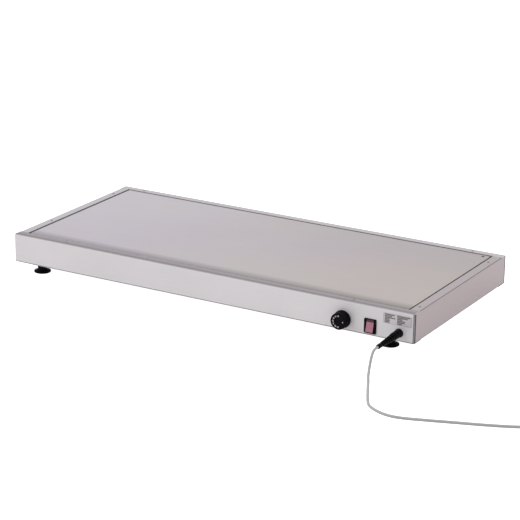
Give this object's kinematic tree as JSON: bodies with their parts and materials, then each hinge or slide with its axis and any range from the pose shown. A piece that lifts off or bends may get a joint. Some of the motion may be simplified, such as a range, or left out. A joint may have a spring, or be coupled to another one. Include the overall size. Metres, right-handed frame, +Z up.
{
  "type": "electric food warmer tray",
  "caption": "Long flat electric warming tray: a folded steel case framing a heated plate, with a turning dial, a rocker switch, levelling feet and a supply cord.",
  "frame": {"origin": "centre of the object's outline without its cord, on the surface it stands on", "axes": "+X along the case to the end with the cord, -Y out of the front with the dial, +Z up"},
  "size_m": [1.4198, 0.7799, 0.0843],
  "materials": {
    "case_steel": "brushed stainless sheet",
    "plate_steel": "fine brushed stainless plate",
    "dull_steel": "dull mill-finish steel",
    "zinc_steel": "zinc-plated steel",
    "aluminium_sheet": "mill-finish aluminium",
    "element_sheath": "heat-darkened steel sheath",
    "copper": "bare copper",
    "brass_terminal": "brass",
    "ceramic": "unglazed ceramic and thermoset",
    "gasket_fibre": "woven heat-proof fibre",
    "glass_wool": "glass wool blanket",
    "black_plastic": "satin black moulding",
    "black_rubber": "black rubber-like moulding",
    "red_lens": "translucent red moulding",
    "cord_sheath": "grey flexible sheath",
    "wire_brown": "brown wire insulation",
    "wire_blue": "blue wire insulation",
    "wire_green": "green and yellow wire insulation",
    "label_foil": "blank silver foil"
  },
  "bodies": {
    "case": {"front_panel": "case_steel", "back_panel": "case_steel", "left_side_panel": "case_steel", "right_side_panel": "case_steel", "corner_brackets": "dull_steel", "rim_rivets": "zinc_steel", "plate_frame": "dull_steel", "plate_gasket": "gasket_fibre", "heating_plate": "plate_steel", "plate_screw": "zinc_steel", "heating_element": "element_sheath", "element_terminals": "ceramic", "element_straps": "zinc_steel", "strap_nuts": "zinc_steel", "sensor_bulb": "copper", "bulb_clip": "zinc_steel", "capillary_tube": "copper", "shield_pan": "aluminium_sheet", "pan_screws": "zinc_steel", "insulation_blanket": "glass_wool", "bottom_cover": "zinc_steel", "cover_screws": "zinc_steel", "foot_nuts": "zinc_steel", "thermostat_body": "ceramic", "thermostat_screws": "zinc_steel", "thermostat_tabs": "brass_terminal", "switch_housing": "black_plastic", "switch_tabs": "brass_terminal", "gland_nut": "black_plastic", "live_wires": "wire_brown", "neutral_wires": "wire_blue", "earth_wire": "wire_green", "earth_stud": "brass_terminal", "rating_plate": "label_foil", "strain_relief": "black_rubber", "mains_cord": "cord_sheath", "cord_coil": "cord_sheath", "coil_tie": "black_plastic", "plug_body": "cord_sheath", "plug_pins": "brass_terminal"},
    "dial": {"dial_knob": "black_plastic", "dial_shaft": "zinc_steel"},
    "rocker": {"switch_rocker": "red_lens"},
    "foot_front_left": {"front_left_foot": "black_rubber", "front_left_stud": "zinc_steel"},
    "foot_front_right": {"front_right_foot": "black_rubber", "front_right_stud": "zinc_steel"},
    "foot_rear_left": {"rear_left_foot": "black_rubber", "rear_left_stud": "zinc_steel"},
    "foot_rear_right": {"rear_right_foot": "black_rubber", "rear_right_stud": "zinc_steel"}
  },
  "joints": [
    {"name": "dial_turn", "type": "hinge", "parent": "case", "child": "dial", "pos_m": [0.336, -0.214, 0.0425], "axis": [0, 1, 0], "range_deg": [0, 270]},
    {"name": "rocker_tilt", "type": "hinge", "parent": "case", "child": "rocker", "pos_m": [0.4, -0.2137, 0.039], "axis": [1, 0, 0], "range_deg": [0, 26]},
    {"name": "foot_front_left_screw", "type": "slide", "parent": "case", "child": "foot_front_left", "axis": [0, 0, -1], "range_m": [0, 0.01]},
    {"name": "foot_front_right_screw", "type": "slide", "parent": "case", "child": "foot_front_right", "axis": [0, 0, -1], "range_m": [0, 0.01]},
    {"name": "foot_rear_left_screw", "type": "slide", "parent": "case", "child": "foot_rear_left", "axis": [0, 0, -1], "range_m": [0, 0.01]},
    {"name": "foot_rear_right_screw", "type": "slide", "parent": "case", "child": "foot_rear_right", "axis": [0, 0, -1], "range_m": [0, 0.01]}
  ]
}
